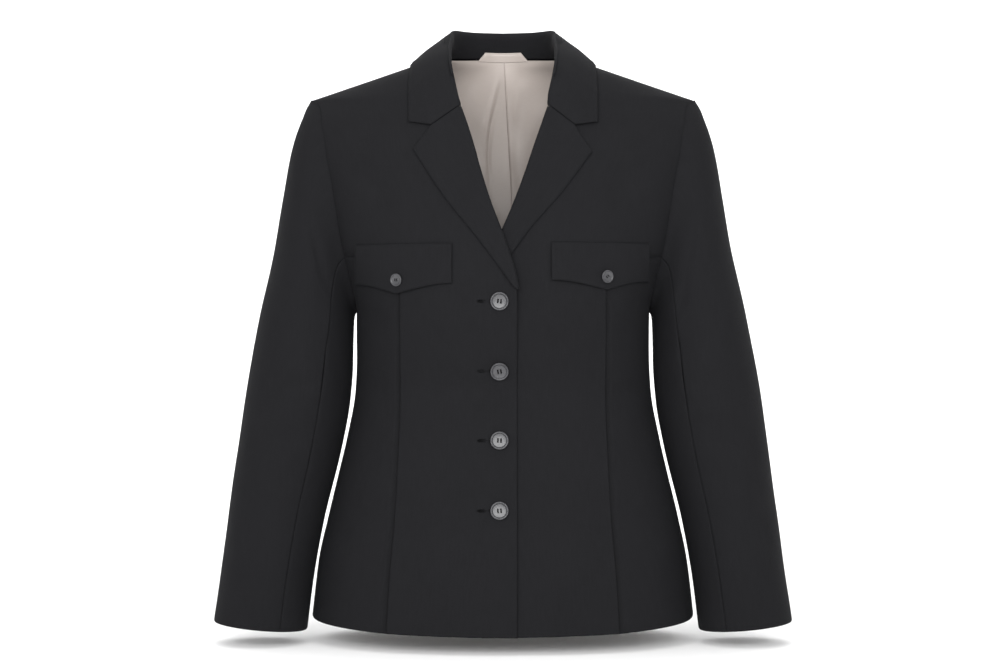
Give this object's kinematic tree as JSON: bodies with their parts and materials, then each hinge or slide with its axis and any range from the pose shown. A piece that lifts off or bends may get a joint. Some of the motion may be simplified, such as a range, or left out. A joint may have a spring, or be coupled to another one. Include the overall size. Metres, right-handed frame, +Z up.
{
  "type": "blazer",
  "caption": "Women's single-breasted fitted blazer in charcoal wool, filled out as worn, with notch lapels, pointed chest pocket flaps and a satin back lining.",
  "frame": {"origin": "middle of the neck, level with the points where the shoulder seams meet the neckline, where the wearer's shoulders hold the blazer up", "axes": "+Z up, the blazer's front faces -Y, +X towards the wearer's left"},
  "size_m": [0.639, 0.2582, 0.672],
  "materials": {
    "charcoal_wool": "matte fine worsted wool, near-black charcoal",
    "beige_satin": "beige satin lining with a soft sheen",
    "grey_button": "grey polished plastic button with a raised rim"
  },
  "bodies": {
    "root": {"front_right": "charcoal_wool", "front_left": "charcoal_wool", "side_front_right": "charcoal_wool", "side_front_left": "charcoal_wool", "back_right": "charcoal_wool", "back_left": "charcoal_wool", "upper_sleeve_right": "charcoal_wool", "upper_sleeve_left": "charcoal_wool", "under_sleeve_right": "charcoal_wool", "under_sleeve_left": "charcoal_wool", "lapel_right": "charcoal_wool", "lapel_left": "charcoal_wool", "flap_right": "charcoal_wool", "flap_left": "charcoal_wool", "collar_fall": "charcoal_wool", "collar_stand": "charcoal_wool", "back_lining": "beige_satin", "neck_patch": "beige_satin", "front_button_1": "grey_button", "front_button_2": "grey_button", "front_button_3": "grey_button", "front_button_4": "grey_button", "flap_button_right": "grey_button", "flap_button_left": "grey_button"}
  },
  "joints": []
}
